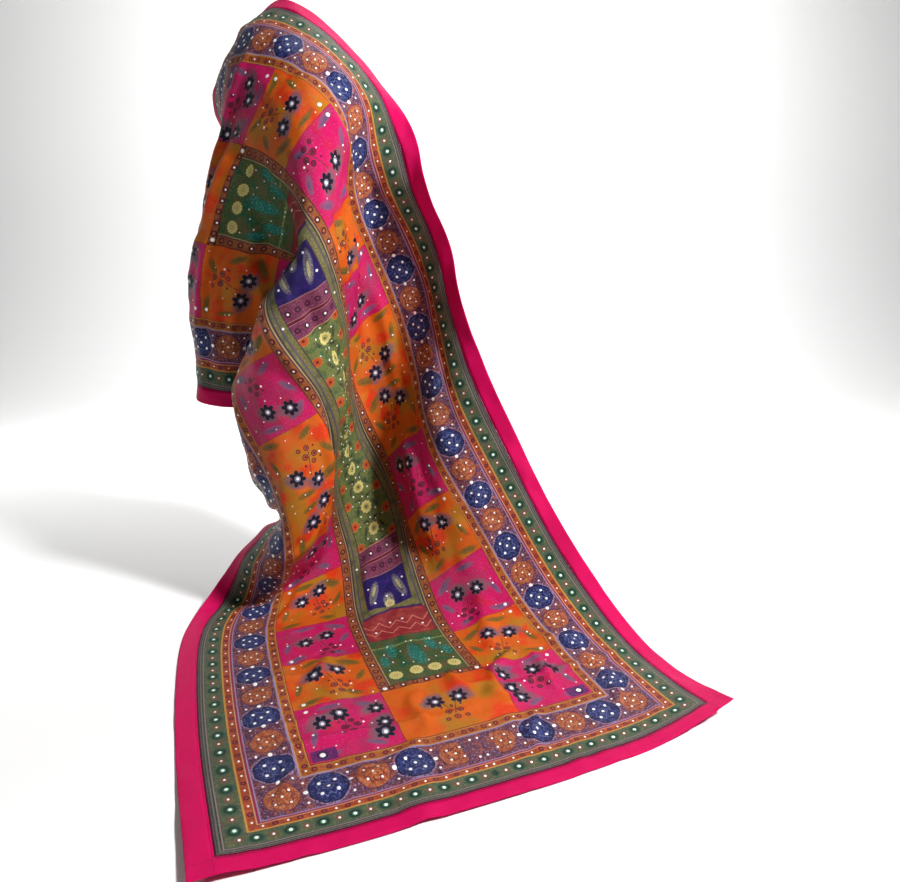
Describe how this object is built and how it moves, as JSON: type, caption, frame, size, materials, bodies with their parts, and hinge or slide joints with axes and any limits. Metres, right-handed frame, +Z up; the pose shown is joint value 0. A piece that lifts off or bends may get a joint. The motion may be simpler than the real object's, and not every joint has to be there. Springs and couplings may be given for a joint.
{
  "type": "dupatta draped as worn",
  "caption": "Wide printed stole draped over one arm and shoulder, falling across the front to a train on the floor, with a plain edge all round.",
  "frame": {"origin": "where the cloth is held at the top of the wearer's right shoulder", "axes": "+Z up, -Y the way the wearer faces, +X towards the wearer's left; the floor is at z = -1.400 m"},
  "size_m": [1.1655, 1.1897, 1.4213],
  "materials": {
    "print": "satin",
    "edge": "satin",
    "mirror": "polished",
    "thread": "matte"
  },
  "bodies": {
    "root": {"edge_bottom_end": "edge", "panel_train": "print", "edge_left_train": "edge", "edge_right_train": "edge", "panel_fall": "print", "edge_left_fall": "edge", "edge_right_fall": "edge", "panel_front": "print", "edge_left_front": "edge", "edge_right_front": "edge", "panel_arm": "print", "edge_left_arm": "edge", "edge_right_arm": "edge", "edge_top_end": "edge"}
  },
  "joints": []
}
